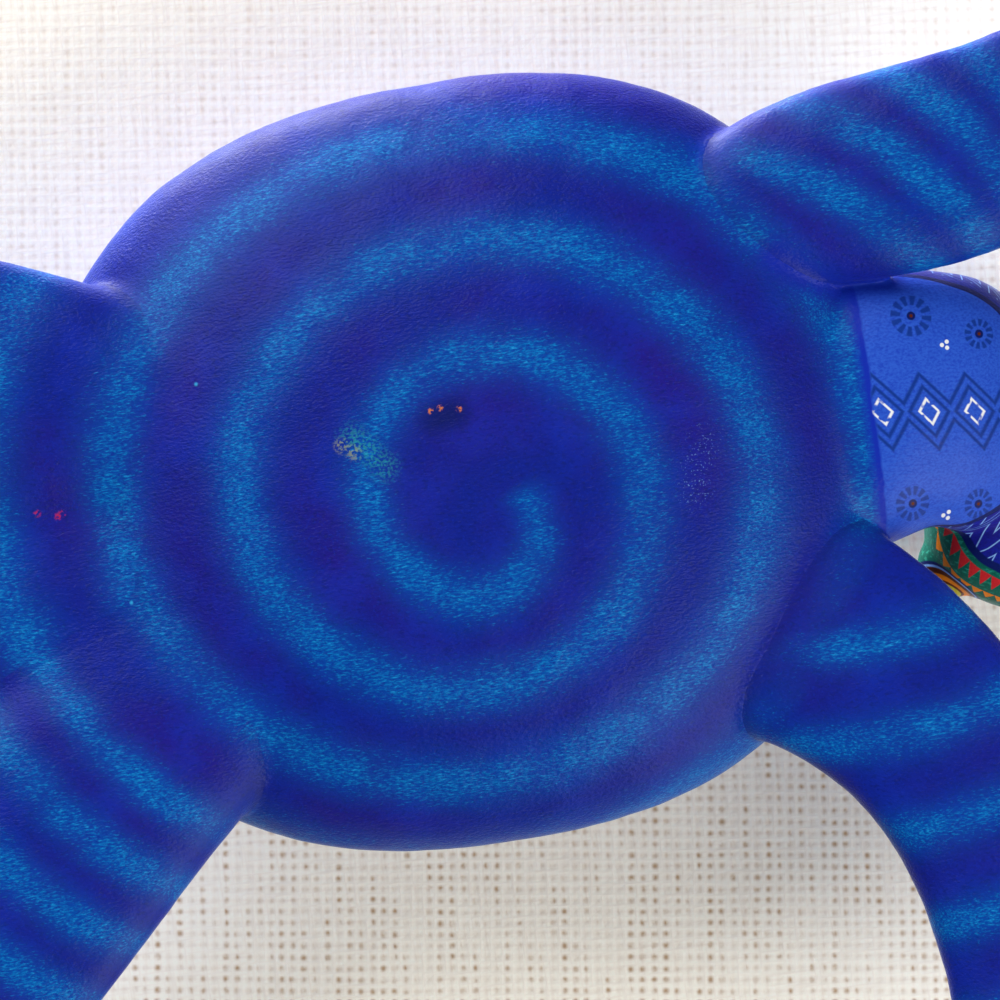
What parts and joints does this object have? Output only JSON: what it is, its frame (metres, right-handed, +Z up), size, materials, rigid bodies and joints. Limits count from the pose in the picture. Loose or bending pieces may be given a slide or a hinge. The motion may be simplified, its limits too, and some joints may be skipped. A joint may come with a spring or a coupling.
{
  "type": "carved wooden turtle figure",
  "caption": "Carved and painted wooden sea turtle lying on its belly, with spread flippers, a short tail and a raised head turned to its left.",
  "frame": {"origin": "centre of the flat under the belly, at table height", "axes": "+X towards the head along the trunk, +Y towards the turtle's left, +Z up"},
  "size_m": [0.2976, 0.2408, 0.0603],
  "materials": {
    "painted_wood": "satin acrylic paint, ultramarine with turquoise bands",
    "painted_head": "satin acrylic paint, cobalt throat and green head",
    "filler": "smooth sawdust and glue filler under satin blue paint",
    "raw_wood": "bare turned hardwood"
  },
  "bodies": {
    "root": {"trunk": "painted_wood", "neck_and_head": "painted_head", "tail": "painted_wood", "front_right_flipper": "painted_wood", "front_left_flipper": "painted_wood", "hind_right_flipper": "painted_wood", "hind_left_flipper": "painted_wood", "neck_filler": "filler", "tail_filler": "filler", "front_right_filler": "filler", "front_left_filler": "filler", "hind_right_filler": "filler", "hind_left_filler": "filler", "neck_dowel": "raw_wood", "tail_dowel": "raw_wood", "front_right_dowel": "raw_wood", "front_left_dowel": "raw_wood", "hind_right_dowel": "raw_wood", "hind_left_dowel": "raw_wood"}
  },
  "joints": []
}
